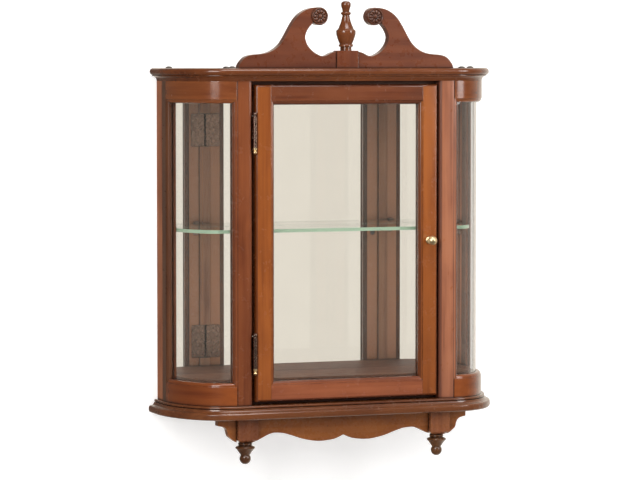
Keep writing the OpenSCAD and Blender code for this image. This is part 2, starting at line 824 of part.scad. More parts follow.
module door_glass_beads() color(wood) {
    y0 = bead_in - body_d;
    y1 = door_back - bead_step;
    for (z = [door_low + rabbet_at, door_top - stile_w])
        slab(door_left + rabbet_at, door_right - rabbet_at, y0, y1, z, z + pane_rabbet);
    for (x = [door_left + rabbet_at, door_right - stile_w])
        slab(x, x + pane_rabbet, y0, y1, door_low + stile_w + bead_gap,
             door_top - stile_w - bead_gap);
}

module door_knob() color(brass) translate([knob_x, -body_d, door_mid]) rotate([90, 0, 0])
    difference() {
        turned(concat([[0, 0], [6, 0], [6, 0.8], [4.6, 1.6], [3.4, 3]],
            bow([0, knob_reach], knob_r, -66, 80, 12), [[0, knob_reach + knob_r]]));
        translate([0, 0, -past]) cylinder(r = knob_screw_r + hole_gap, h = knob_screw_in + 2 * past);
    }

module knob_screw() color(steel) translate([knob_x, door_back, door_mid]) rotate([90, 0, 0]) {
    cylinder(r = knob_screw_r, h = door_t + knob_screw_in);
    translate([0, 0, -knob_head_t]) cylinder(r = knob_head_r, h = knob_head_t);
}

// Hinges, each about its own middle

module hinge_at(i) translate([axis_x, axis_y, hinge_zs[i]]) children();

// A knuckle from z0 to z1, with the root of its leaf on side s
module leaf_knuckle(s, z0, z1) translate([0, 0, z0]) difference() {
    linear_extrude(z1 - z0) {
        circle(barrel_r);
        translate([s * (door_gap_l - leaf_t) / 2 - leaf_t / 2, leaf_root])
            square([leaf_t, leaf_start]);
    }
    translate([0, 0, -past]) cylinder(r = pin_r + hole_gap, h = z1 - z0 + 2 * past);
}

// A leaf on side s: through the gap beside the barrel, then along the wood's back at depth y
module leaf(s, y, w) difference() {
    far = door_gap_l / 2;
    mirror([s < 0 ? 1 : 0, 0, 0]) {
        slab(far - leaf_t, far, leaf_start, y + leaf_t, -barrel_l / 2, barrel_l / 2);
        slab(far - leaf_t, far + w, y, y + leaf_t, -barrel_l / 2, barrel_l / 2);
    }
    for (i = [-1 : 1]) translate([s * (far + w / 2), y + leaf_t, i * leaf_screw_step]) pilot();
}

module hinge_post_leaf() color(old_brass) {
    leaf(-1, post_back - axis_y, post_leaf_w);
    leaf_knuckle(-1, (knuckle + move_gap) / 2, barrel_l / 2);
    leaf_knuckle(-1, -barrel_l / 2, -(knuckle + move_gap) / 2);
}

module hinge_door_leaf() color(old_brass) {
    leaf(1, door_back - axis_y, door_leaf_w);
    leaf_knuckle(1, (move_gap - knuckle) / 2, (knuckle - move_gap) / 2);
}

module hinge_pin() color(old_brass) {
    translate([0, 0, -barrel_l / 2 - past]) cylinder(r = pin_r, h = barrel_l + 2 * past);
    for (s = [0, 1]) mirror([0, 0, s]) translate([0, 0, barrel_l / 2])
        turned([[0, 0], [3, 0], [3, 0.8], [2, 1.6], [2.9, 2.4], [3.5, 4], [3.3, 5.6],
                [2.2, 6.8], [0, 7.3]]);
}

module hinge_post_screws() color(brass) for (z = hinge_zs) for (i = [-1 : 1])
    translate([-post_screw_x, post_back, z + i * leaf_screw_step]) wood_screw(leaf_t);

module hinge_door_screws() color(brass) for (z = hinge_zs) for (i = [-1 : 1])
    translate([door_screw_x, door_back, z + i * leaf_screw_step]) wood_screw(leaf_t);

// One line for each piece
crown_board();
cornice_board();
left() scroll_board();  // scroll_board_left
scroll_board();  // scroll_board_right
left() rosette();  // rosette_left
rosette();  // rosette_right
pediment_plinth();
top_finial();
crown_screws();
left() rear_side_board();  // rear_side_board_left
rear_side_board();  // rear_side_board_right
left() rear_stile();  // rear_stile_left
rear_stile();  // rear_stile_right
left() side_top_rail();  // side_top_rail_left
side_top_rail();  // side_top_rail_right
left() side_bottom_rail();  // side_bottom_rail_left
side_bottom_rail();  // side_bottom_rail_right
left() front_post(hinged = true);  // front_post_left
front_post();  // front_post_right
left() side_glass();  // side_glass_left
side_glass();  // side_glass_right
left() side_beads();  // side_beads_left
side_beads();  // side_beads_right
hanging_rail();
lower_back_rail();
front_top_rail();
front_bottom_rail();
door_stops();
floor_board();
base_board();
mirror_pane();  // mirror
back_panel();
glass_shelf();
shelf_clips();
clip_screws();
magnetic_catch();
front_apron();
left() wing_bracket();  // wing_bracket_left
wing_bracket();  // wing_bracket_right
left() corner_block();  // corner_block_left
corner_block();  // corner_block_right
left() drop_finial();  // drop_finial_left
drop_finial();  // drop_finial_right
hinge_at(0) hinge_post_leaf();  // upper_hinge_post_leaf
hinge_at(1) hinge_post_leaf();  // lower_hinge_post_leaf
hinge_at(0) hinge_pin();  // upper_hinge_pin
hinge_at(1) hinge_pin();  // lower_hinge_pin
hinge_post_screws();
door_stile_left();
door_stile_right();
door_upper() door_rail();  // door_top_rail
door_rail();  // door_bottom_rail
door_glass();
door_glass_beads();
hinge_at(0) hinge_door_leaf();  // upper_hinge_door_leaf
hinge_at(1) hinge_door_leaf();  // lower_hinge_door_leaf
hinge_door_screws();
door_knob();
knob_screw();
strike_plate();
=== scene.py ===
# %% [markdown]
# # A wall curio cabinet, dressed around its CAD frame
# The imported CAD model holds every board, pane and hinge at its real size. This lesson
# leaves those solids where they are, and gives them what a photograph shows: stained
# cherry under a satin lacquer, bent glass, silvered glass, brass and a quiet studio.
# Where a solid is plainer than the real piece, a finer mesh is made to stand for it.

# %% Load the frame
import json
import math

import bmesh
import bpy
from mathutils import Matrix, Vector


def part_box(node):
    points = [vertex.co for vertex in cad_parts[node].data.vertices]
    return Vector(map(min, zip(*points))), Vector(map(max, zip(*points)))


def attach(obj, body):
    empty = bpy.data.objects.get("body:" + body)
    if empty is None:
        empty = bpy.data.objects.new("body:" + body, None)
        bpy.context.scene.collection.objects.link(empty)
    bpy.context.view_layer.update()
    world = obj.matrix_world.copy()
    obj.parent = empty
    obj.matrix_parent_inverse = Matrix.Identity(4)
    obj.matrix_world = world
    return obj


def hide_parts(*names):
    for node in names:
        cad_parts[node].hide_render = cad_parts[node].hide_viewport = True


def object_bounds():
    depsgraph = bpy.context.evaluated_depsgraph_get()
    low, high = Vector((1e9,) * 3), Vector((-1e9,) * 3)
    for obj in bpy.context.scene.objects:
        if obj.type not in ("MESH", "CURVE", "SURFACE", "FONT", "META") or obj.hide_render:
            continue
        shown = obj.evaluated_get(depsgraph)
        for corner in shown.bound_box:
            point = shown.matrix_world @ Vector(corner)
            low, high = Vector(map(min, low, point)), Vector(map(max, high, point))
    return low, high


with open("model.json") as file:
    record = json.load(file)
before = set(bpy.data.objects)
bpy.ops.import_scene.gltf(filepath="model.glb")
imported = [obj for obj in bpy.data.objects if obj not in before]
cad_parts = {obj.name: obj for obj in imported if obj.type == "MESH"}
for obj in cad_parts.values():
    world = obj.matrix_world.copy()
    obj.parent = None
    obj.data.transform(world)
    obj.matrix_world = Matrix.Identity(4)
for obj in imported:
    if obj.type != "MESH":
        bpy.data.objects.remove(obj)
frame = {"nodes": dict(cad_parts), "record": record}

scene = bpy.context.scene
nodes = frame["nodes"]
cad_box = [list(corner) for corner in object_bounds()]
print("CAD box", cad_box)

# %% [markdown]
# ## Camera
# The photograph was taken with a long lens, a little to the left of the cabinet and
# just above its middle. An outline match gave the angle, the distance and the focal
# length. A long lens far away keeps the cabinet's uprights parallel, as in the picture.

# %% Camera
PICTURE = (640, 480)
FOCAL_PIXELS = 3183.1
SENSOR = 36.0
SEES_AS_FAR_AS = 50
camera_target = Vector((-0.01449, -0.070, -0.2589))
camera_azimuth = math.radians(-20.5)
camera_elevation = math.radians(3.28)
camera_distance = 5.5485


def direction(azimuth, elevation):
    """The unit vector from the cabinet to a place seen at that angle; 0, 0 is in front."""
    level = math.cos(elevation)
    return Vector((math.sin(azimuth) * level, -math.cos(azimuth) * level,
                   math.sin(elevation)))


def look_at(thing, target):
    """Turns a camera or lamp so that it faces the target."""
    thing.rotation_euler = (target - thing.location).to_track_quat("-Z", "Y").to_euler()


camera = bpy.data.objects.new("camera", bpy.data.cameras.new("camera"))
scene.collection.objects.link(camera)
camera.data.sensor_width = SENSOR
camera.data.lens = FOCAL_PIXELS * SENSOR / PICTURE[0]
camera.data.clip_end = SEES_AS_FAR_AS
camera.location = camera_target + camera_distance * direction(camera_azimuth,
                                                              camera_elevation)
look_at(camera, camera_target)
scene.camera = camera
print("lens", round(camera.data.lens, 2), "mm at", [round(v, 3) for v in camera.location])

# %% [markdown]
# ## Light
# Two large soft boxes stand left and right of the camera: their reflections run down
# the bent rails and the round noses of the mouldings. A weaker one above lights the
# crown. They are hidden from rays that have passed through glass, or the mirror would
# show them. The world fills the shadows. Angles are in degrees from the cabinet's front.

# %% Lamps
LAMPS = {
    "key_box": {"azimuth": -43, "elevation": 20, "distance": 3.2, "size": (1.2, 1.7),
                "power": 50, "colour": (1, 0.985, 0.96)},
    "fill_box": {"azimuth": 42, "elevation": 18, "distance": 3.2, "size": (1.0, 1.7),
                 "power": 40, "colour": (1, 0.99, 0.98)},
    "top_box": {"azimuth": 0, "elevation": 58, "distance": 2.6, "size": (1.6, 1.0),
                "power": 34, "colour": (1, 1, 1)},
}
light_target = Vector((0, -0.08, -0.25))


def soft_box(name, azimuth, elevation, distance, size, power, colour):
    """A square area lamp that faces the cabinet."""
    data = bpy.data.lights.new(name, "AREA")
    data.shape = "RECTANGLE"
    data.size, data.size_y = size
    data.energy = power
    data.color = colour
    lamp = bpy.data.objects.new(name, data)
    scene.collection.objects.link(lamp)
    lamp.location = light_target + distance * direction(math.radians(azimuth),
                                                        math.radians(elevation))
    look_at(lamp, light_target)
    lamp.visible_transmission = False


for name, settings in LAMPS.items():
    soft_box(name, **settings)
print(len(LAMPS), "lamps")

# %% [markdown]
# ## A short way to write node trees
# Each finish below is a recipe of many small nodes. A class with short calls keeps a
# recipe readable: a value may be a number or the output of another node. Further on,
# r is the recipe that is being filled.

# %% Recipes


class Recipe:
    """A node tree that is filled by short calls."""

    def __init__(self, tree):
        self.tree = tree
        tree.nodes.clear()

    def node(self, kind, inputs=None, **settings):
        made = self.tree.nodes.new(kind)
        for key, value in settings.items():
            setattr(made, key, value)
        for key, value in (inputs or {}).items():
            self.feed(made.inputs[key], value)
        return made

    def feed(self, socket, value):
        if isinstance(value, bpy.types.NodeSocket):
            self.tree.links.new(value, socket)
        else:
            socket.default_value = value

    def math(self, operation, a, b=0.0, clamp=False):
        return self.node("ShaderNodeMath", {0: a, 1: b}, operation=operation,
                         use_clamp=clamp).outputs[0]

    def vector(self, operation, a, b):
        made = self.node("ShaderNodeVectorMath", {0: a, 1: b}, operation=operation)
        return made.outputs["Value" if operation == "DOT_PRODUCT" else "Vector"]

    def split(self, vector):
        return self.node("ShaderNodeSeparateXYZ", {0: vector}).outputs

    def spread(self, value, low, high, to_low=0.0, to_high=1.0):
        """Maps low..high to to_low..to_high, and keeps it there."""
        return self.node("ShaderNodeMapRange", {0: value, 1: low, 2: high, 3: to_low,
                                                4: to_high}).outputs[0]


print("recipe calls: node, math, vector, split, spread")

# %% [markdown]
# A paint is a recipe that can also mix. It lays one colour over another by a share,
# turns a number into a colour, makes noise, and blends two shaders. It also finds what
# is hollow (Ambient Occlusion), what is an arris (a Bevel node) and which way a face
# looks. Further on, these masks place glaze and wear, and also painted shade and
# painted highlights.

# %% Paints
BEVEL_SAMPLES = 4


class Paint(Recipe):
    """A recipe that mixes colours and shaders."""

    def blend(self, share, a, b):
        made = self.node("ShaderNodeMix", data_type="RGBA")
        for index, value in ((0, share), (6, a), (7, b)):
            if isinstance(value, tuple) and len(value) == 3:
                value = (*value, 1)
            self.feed(made.inputs[index], value)
        return made.outputs[2]

    def ramp(self, value, stops):
        made = self.node("ShaderNodeValToRGB", {0: value})
        points = made.color_ramp.elements
        while len(points) < len(stops):
            points.new(0.5)
        for point, (at, colour) in zip(points, stops):
            point.position = at
            point.color = (*colour, 1)
        return made.outputs[0]

    def noise(self, at, scale, detail, roughness, distortion=0.0):
        return self.node("ShaderNodeTexNoise", {
            "Vector": at, "Scale": scale, "Detail": detail, "Roughness": roughness,
            "Distortion": distortion}).outputs[0]

    def place(self):
        """A point of the piece, in metres in the cabinet's own frame."""
        return self.node("ShaderNodeTexCoord").outputs["Object"]

    def face(self):
        """The way a face looks."""
        return self.node("ShaderNodeNewGeometry").outputs["Normal"]

    def openness(self, reach, samples):
        """1 in the open, and less where something is within reach."""
        return self.node("ShaderNodeAmbientOcclusion", {"Distance": reach},
                         samples=samples).outputs["AO"]

    def rounded_face(self, radius):
        """The way a face looks, with its arrises rounded."""
        return self.node("ShaderNodeBevel", {"Radius": radius},
                         samples=BEVEL_SAMPLES).outputs[0]

    def bump(self, strength, distance, height, normal=None):
        inputs = {"Strength": strength, "Distance": distance, "Height": height}
        if normal is not None:
            inputs["Normal"] = normal
        return self.node("ShaderNodeBump", inputs).outputs[0]

    def mix_shader(self, share, a, b):
        return self.node("ShaderNodeMixShader", {0: share, 1: a, 2: b}).outputs[0]

    def surface(self, shader):
        """Ends the recipe: this shader is the surface."""
        self.node("ShaderNodeOutputMaterial", {0: shader})


def new_material(name):
    """An empty material and the paint that fills it."""
    material = bpy.data.materials.new(name)
    material.use_nodes = True
    return material, Paint(material.node_tree)


print("paint calls: blend, ramp, noise, openness, rounded_face, bump, mix_shader")

# %% [markdown]
# ## The room
# The camera sees a white world, so the cabinet stands on white. Light Path tells the
# kinds of ray apart. What shines reflects a room that is dim in front and on the left,
# where the dark studio lies, and pale cream on the right. A ray that was mirrored and
# has come out through the glass shows the cream room too, and that is what fills the
# mirror. A ray that was scattered by wood gets the plain fill light, and behind the
# glass a warmer and stronger one, for the light that goes to and fro between the
# mirror and the wood.

# %% World
PLAIN_WHITE = (1, 1, 1, 1)
ROOM_CREAM = (0.95, 0.87, 0.757, 1)
FILL_WHITE = (1, 0.985, 0.96, 1)
WARM_WHITE = (1, 0.92, 0.80, 1)
MIRRORED_LEVEL = 1.0
DIM_LEVEL = 0.14
PALE_LEVEL = 0.9
FILL_LEVEL = 0.34
INSIDE_LEVEL = 1.0
# Where the pale side begins and where it is full, from left to right and front to back
PALE_ACROSS = (-0.1, 0.2)
PALE_BACKWARD = (-0.45, 0.25)
# A count of bounces above this means that there was at least one
NO_BOUNCE = 0.5

world = bpy.data.worlds.new("studio_room")
scene.world = world
world.use_nodes = True
room = Paint(world.node_tree)
way = room.split(room.node("ShaderNodeTexCoord").outputs["Generated"])
right_side = room.math("MULTIPLY", room.spread(way[0], *PALE_ACROSS),
                       room.spread(way[1], *PALE_BACKWARD))
print("the room is pale on the right")

# %% [markdown]
# Each kind of ray gets its background: white, fill, inside, shine or mirrored. The
# view transform is Standard, so that a colour comes out as it is written.

# %% Rays and backgrounds


def background(colour, strength):
    return room.node("ShaderNodeBackground", {"Color": colour,
                                              "Strength": strength}).outputs[0]


def bounced(kind):
    """1 for a ray that has bounced in this way at least once."""
    return room.math("GREATER_THAN", path[kind], NO_BOUNCE)


path = room.node("ShaderNodeLightPath").outputs
white = background(PLAIN_WHITE, 1.0)
fill = background(FILL_WHITE, FILL_LEVEL)
inside = background(WARM_WHITE, INSIDE_LEVEL)
shine = background(ROOM_CREAM, room.spread(right_side, 0.0, 1.0, DIM_LEVEL, PALE_LEVEL))
mirrored = background(ROOM_CREAM, MIRRORED_LEVEL)
through = room.mix_shader(bounced("Glossy Depth"), white, mirrored)
through = room.mix_shader(bounced("Diffuse Depth"), through, inside)
around = room.mix_shader(path["Is Glossy Ray"], fill, shine)
around = room.mix_shader(path["Is Camera Ray"], around, white)
seen = room.mix_shader(path["Is Transmission Ray"], around, through)
room.node("ShaderNodeOutputWorld", {0: seen})
scene.view_settings.view_transform = "Standard"
print("world made")

# %% [markdown]
# ## Floor and wall
# The cabinet hangs on a white wall that takes its soft shadow. Wall and floor are stage
# flats with one face, so the back and the underside can still be looked at. Only the
# camera sees the wall, so that light reaches the back too. The floor lies 17 centimetres
# below the drops, and the mirror does not show it. Both glow a little, for the camera
# alone, so that they read as white without more light on the cabinet.

# %% Stage
WALL_GAP = 0.0008
FLOOR_DROP = 0.17
STAGE_HALF = 6.0
FLOOR_WHITE = (0.82, 0.82, 0.82, 1)
FLOOR_GLOW = 0.28
WALL_WHITE = (0.8, 0.8, 0.8, 1)
WALL_GLOW = 0.42


def white_stage(name, colour, glow):
    """A pale diffuse white that glows a little. It can't be seen from behind."""
    material, r = new_material(name)
    camera_ray = r.node("ShaderNodeLightPath").outputs["Is Camera Ray"]
    body = r.node("ShaderNodeBsdfDiffuse", {"Color": colour}).outputs[0]
    lift = r.node("ShaderNodeEmission", {
        "Color": PLAIN_WHITE, "Strength": r.math("MULTIPLY", camera_ray, glow)}).outputs[0]
    lit = r.node("ShaderNodeAddShader", {0: body, 1: lift}).outputs[0]
    behind = r.node("ShaderNodeNewGeometry").outputs["Backfacing"]
    clear = r.node("ShaderNodeBsdfTransparent").outputs[0]
    r.surface(r.mix_shader(behind, lit, clear))
    return material


def stage_plane(name, corners, material):
    mesh = bpy.data.meshes.new(name)
    mesh.from_pydata(corners, [], [(0, 1, 2, 3)])
    mesh.materials.append(material)
    plane = bpy.data.objects.new(name, mesh)
    scene.collection.objects.link(plane)
    return plane


low, high = Vector(cad_box[0]), Vector(cad_box[1])
floor_z = low.z - FLOOR_DROP
wall_y = high.y + WALL_GAP
floor = stage_plane("floor", [(-STAGE_HALF, -STAGE_HALF, floor_z),
                              (STAGE_HALF, -STAGE_HALF, floor_z),
                              (STAGE_HALF, STAGE_HALF, floor_z),
                              (-STAGE_HALF, STAGE_HALF, floor_z)],
                    white_stage("floor_white", FLOOR_WHITE, FLOOR_GLOW))
wall = stage_plane("wall", [(-STAGE_HALF, wall_y, floor_z), (STAGE_HALF, wall_y, floor_z),
                            (STAGE_HALF, wall_y, STAGE_HALF),
                            (-STAGE_HALF, wall_y, STAGE_HALF)],
                   white_stage("wall_white", WALL_WHITE, WALL_GLOW))
wall.visible_diffuse = wall.visible_glossy = wall.visible_transmission = False
wall.visible_shadow = wall.visible_volume_scatter = False
floor.visible_glossy = floor.visible_transmission = False
print("floor at", round(floor_z, 3), "wall at", round(wall_y, 4))

# %% [markdown]
# ## Cherry
# The real cabinet is cherry, stained red-brown, with a few dark nicks. Its corners are
# painted darker, which is painted shade, and its arrises paler: partly rubbed through to
# the lighter stain and partly a painted highlight. An image would have to be wrapped
# round every board. Here the grain is worked out from each point's place in the cabinet
# instead: noise that is stretched along the board. A vertical board stretches it along
# Z, a rail along X, and a bent rail along its bend. The seed moves each group of boards
# to another part of the noise, as if cut from another plank.

# %% Grain directions
BEND_CENTRE = (0.132, -0.041)
BEND_RADIUS = 0.158
PLANK_STEP = (0.37, 1.13, 0.71)


def round_the_bend(r, x, y, z):
    """A bent rail straightened: the way round its bend, the height and the radius."""
    side = r.math("SUBTRACT", r.math("ABSOLUTE", x), BEND_CENTRE[0])
    back = r.math("SUBTRACT", y, BEND_CENTRE[1])
    reach = r.math("SQRT", r.math("ADD", r.math("MULTIPLY", side, side),
                                  r.math("MULTIPLY", back, back)))
    return r.math("MULTIPLY", r.math("ARCTAN2", back, side), BEND_RADIUS), z, reach


def along_grain(r, grain, seed):
    """A point as (along the grain, across it, through the board), in metres."""
    x, y, z = r.split(r.place())
    if grain == "up":
        axes = (z, x, y)
    elif grain == "bent":
        axes = round_the_bend(r, x, y, z)
    else:
        axes = (x, z, y)
    joined = r.node("ShaderNodeCombineXYZ", dict(enumerate(axes))).outputs[0]
    return r.vector("ADD", joined, tuple(seed * step for step in PLANK_STEP))


print("grain runs up, across or bent")

# %% [markdown]
# The finish is built in the order in which the shop builds it, and the first step is
# the raw board. The figure is the broad bands of the year rings, and the fibre the
# fine dark pores. Both wander a little, because no tree is straight. Blotches and
# clouds are where cherry takes the stain unevenly, and scuffs are where it is rubbed.

# %% Patterns of a board
# Waves a metre along, across and through the board, then detail, roughness, distortion
DRIFT = ((3.2, 9.0, 9.0), 2.0, 0.5, 0.0)
FIGURE = ((2.6, 85.0, 85.0), 5.0, 0.62, 0.35)
FIBRE = ((22.0, 700.0, 700.0), 3.0, 0.6, 0.0)
BLOTCH = ((11.0, 30.0, 30.0), 2.0, 0.5, 0.2)
CLOUD = ((3.0, 7.0, 7.0), 2.0, 0.5, 0.0)
SCUFF = ((60.0, 60.0, 60.0), 4.0, 0.7, 0.0)
DRIFT_REACH = (0, 0.012, 0.012)


def stretched(r, at, pattern):
    """Noise that is drawn out along the board."""
    waves, detail, roughness, distortion = pattern
    return r.noise(r.vector("MULTIPLY", at, waves), 1.0, detail, roughness, distortion)


def board_patterns(r, at):
    """The patterns of one board, by name, each a number from 0 to 1."""
    drift = stretched(r, at, DRIFT)
    wander = r.node("ShaderNodeCombineXYZ", {1: drift, 2: drift}).outputs[0]
    wandered = r.vector("ADD", at, r.vector("MULTIPLY", wander, DRIFT_REACH))
    return {"figure": stretched(r, wandered, FIGURE), "fibre": stretched(r, wandered, FIBRE),
            "blotch": stretched(r, at, BLOTCH), "cloud": stretched(r, at, CLOUD),
            "scuff": stretched(r, at, SCUFF)}


print("a board has figure, fibre, blotches, clouds and scuffs")

# %% [markdown]
# The stain goes on next. One stain gives three tones: pale on the dense wood, deep in
# the pores, and its middle tone between them. A row below says where in a pattern a
# tone begins and is full, and how much of it there is at both ends.

# %% Stain
PALER = (1.36, 1.5, 1.5)
DEEPER = (0.52, 0.46, 0.5)
FIGURE_SPAN = (0.28, 0.72)
MIDDLE_AT = 0.42
FIBRE_DEEP = (0.5, 0.28, 0.0, 0.22)
BLOTCH_PALE = (0.42, 0.75, 0.0, 0.6)
BLOTCH_DEEP = (0.45, 0.22, 0.0, 0.5)
CLOUD_DEEP = (0.6, 0.36, 0.0, 0.5)


def toned_by(colour, factors):
    return tuple(value * factor for value, factor in zip(colour, factors))


def three_tones(mid):
    """Pale, middle and deep tone of one stain."""
    return toned_by(mid, PALER), mid, toned_by(mid, DEEPER)


def stained(r, patterns, tones):
    """The stain on the raw board."""
    pale, mid, deep = tones
    stain = r.ramp(r.spread(patterns["figure"], *FIGURE_SPAN),
                   [(0.0, deep), (MIDDLE_AT, mid), (1.0, pale)])
    for pattern, span, tone in (("fibre", FIBRE_DEEP, deep), ("blotch", BLOTCH_PALE, pale),
                                ("blotch", BLOTCH_DEEP, deep), ("cloud", CLOUD_DEEP, deep)):
        stain = r.blend(r.spread(patterns[pattern], *span), stain, tone)
    return stain


print("stain in three tones")

# %% [markdown]
# On the door and the posts, the faces that don't look to the front are painted darker,
# which is painted shade: the moulded edge round the pane and the rounded corners. Their
# backs, which only the mirror shows, are painted pale: painted light, for the light that
# the mirror throws back onto them. The normal's Y tells these faces apart: it is -1 on
# the front and 1 on the back.

# %% Painted shade and painted light by facing
TURNED_SHADE_DARKER = 0.8
TURNED_SHADE_FACES = (0.998, 0.94)
BACK_FACES = (0.8, 0.95, 0.0, 0.85)
# Painted light: the pale colour on the backs stands in for light the mirror throws back onto
# them.
BACK_PAINTED_LIGHT = (0.58, 0.265, 0.14)


def painted_turned_shade(r, stain, deep, amount):
    """Painted shade on the faces that don't look to the front, and painted light on the
    backs.
    """
    facing = r.split(r.face())[1]
    # Painted shade: faces turned away from the front are darkened.
    turned_away = r.spread(r.math("ABSOLUTE", facing), *TURNED_SHADE_FACES, 0.0, amount)
    stain = r.blend(turned_away, stain, tuple(v * TURNED_SHADE_DARKER for v in deep))
    return r.blend(r.spread(facing, *BACK_FACES), stain, BACK_PAINTED_LIGHT)


print("toner for the door and the posts")

# %% [markdown]
# Ambient Occlusion finds grooves, joints and corners, with a short reach for a joint and
# a longer one for a corner, and they are painted darker. The narrow grooves and gaps go
# near black: partly a dark glaze left in the joints, partly painted shade. The wider
# corners take the deep tone, which is painted shade. Then the arrises are painted a
# little paler: partly rubbed-through wear, partly a painted highlight. A Bevel node
# gives a rounded normal, and where it differs from the flat one there is an arris. Last
# come the specks that are flicked on from a brush: a cell pattern, with a dark dot in
# some of its cells.

# %% Glaze and painted shade, rubbed and highlit arrises, specks
GROOVE_REACH = 0.0045
HOLLOW_REACH = 0.02
WOOD_AO_SAMPLES = 8
GLAZE_AND_SHADE_DARK = (0.018, 0.006, 0.003)
HOLLOW_PAINTED_SHADE = (0.85, 0.35, 0.0, 0.5)
GROOVE_GLAZE_AND_SHADE = (0.92, 0.5, 0.0, 0.85)
ARRIS_TURN = (0.995, 0.90)
RUB_AND_HIGHLIGHT_IN_THE_OPEN = (0.45, 0.8)
RUB_AND_HIGHLIGHT_IN_SCUFFS = (0.42, 0.6, 0.1, 0.7)
RUBBED_AND_HIGHLIT_PALER, RUBBED_AND_HIGHLIT_LIFT = 1.3, 0.012
SPECK_CELLS = 30.0
SPECK_RADIUS = 0.04
SPECK_EDGE = -0.008
SPECK_CHANCE = (0.62, 0.64)
SPECK_DARK = 0.8


def shaded_glazed_and_rubbed(r, stain, patterns, tones, rounded):
    """Glaze and painted shade in the hollows, and a paler line on each arris that is wear and
    painted highlight.
    """
    pale, _, deep = tones
    hollow = r.openness(HOLLOW_REACH, WOOD_AO_SAMPLES)
    groove = r.openness(GROOVE_REACH, WOOD_AO_SAMPLES)
    # Painted shade: the deep tone in corners, and near black in grooves and gaps (there
    # partly a real glaze).
    stain = r.blend(r.spread(hollow, *HOLLOW_PAINTED_SHADE), stain, deep)
    stain = r.blend(r.spread(groove, *GROOVE_GLAZE_AND_SHADE), stain, GLAZE_AND_SHADE_DARK)
    # Paler arrises: partly rubbed-through wear, partly a painted highlight.
    arris = r.spread(r.vector("DOT_PRODUCT", rounded, r.face()), *ARRIS_TURN)
    rubbed_and_highlit = r.math("MULTIPLY", r.math("MULTIPLY", arris,
                                       r.spread(hollow, *RUB_AND_HIGHLIGHT_IN_THE_OPEN)),
                    r.spread(patterns["scuff"], *RUB_AND_HIGHLIGHT_IN_SCUFFS))
    return r.blend(rubbed_and_highlit, stain, tuple(min(1, v * RUBBED_AND_HIGHLIT_PALER + RUBBED_AND_HIGHLIT_LIFT)
                                        for v in pale))


def specked(r, stain, at):
    """A few dark specks, each of its own size."""
    spots = r.node("ShaderNodeTexVoronoi", {"Vector": at, "Scale": SPECK_CELLS})
    chance = r.node("ShaderNodeSeparateColor", {0: spots.outputs["Color"]}).outputs
    radius = r.math("MULTIPLY", chance[0], SPECK_RADIUS)
    speck = r.spread(r.math("SUBTRACT", spots.outputs["Distance"], radius), 0.0, SPECK_EDGE)
    speck = r.math("MULTIPLY", speck, r.spread(chance[1], *SPECK_CHANCE))
    return r.blend(r.math("MULTIPLY", speck, SPECK_DARK), stain, GLAZE_AND_SHADE_DARK)


print("glaze, rubbed arrises and specks")

# %% [markdown]
# A satin lacquer, the coat, lies over it all. It fills the pores only partly, so
# fibre and figure still stand up as a very low relief, and light catches on each
# rounded arris. Polish is the lacquer's roughness: a scuffed place is a little duller.

# %% Lacquered cherry
ARRIS = 0.0009
FIBRE_RELIEF = 0.3
FIGURE_RELIEF = 0.5
RELIEF_STRENGTH = 0.16
RELIEF_HEIGHT = 0.0004
COAT_ROUGHNESS = 0.12
SCUFF_SPAN = (0.3, 0.7)
SMOOTHER, ROUGHER = 0.04, 0.08


def cherry(name, grain, middle_tone, seed, polish, coat, shine, turned_shade):
    """Stained and lacquered cherry, with painted shade and painted highlights. turned_shade
    is how much painted shade darkens the surfaces that don't face the front."""
    material, r = new_material(name)
    tones = three_tones(middle_tone)
    at = along_grain(r, grain, seed)
    patterns = board_patterns(r, at)
    rounded = r.rounded_face(ARRIS)
    stain = stained(r, patterns, tones)
    if turned_shade:
        stain = painted_turned_shade(r, stain, tones[2], turned_shade)
    stain = shaded_glazed_and_rubbed(r, stain, patterns, tones, rounded)
    stain = specked(r, stain, at)
    relief = r.math("ADD", r.math("MULTIPLY", patterns["fibre"], FIBRE_RELIEF),
                    r.math("MULTIPLY", patterns["figure"], FIGURE_RELIEF))
    r.surface(r.node("ShaderNodeBsdfPrincipled", {
        "Base Color": stain,
        "Roughness": r.spread(patterns["scuff"], *SCUFF_SPAN, polish - SMOOTHER,
                              polish + ROUGHER),
        "Normal": r.bump(RELIEF_STRENGTH, RELIEF_HEIGHT, relief, rounded),
        "Specular IOR Level": shine, "Coat Weight": coat,
        "Coat Roughness": COAT_ROUGHNESS}).outputs[0])
    return material


print("cherry is stained, toned, glazed, rubbed, specked and lacquered")
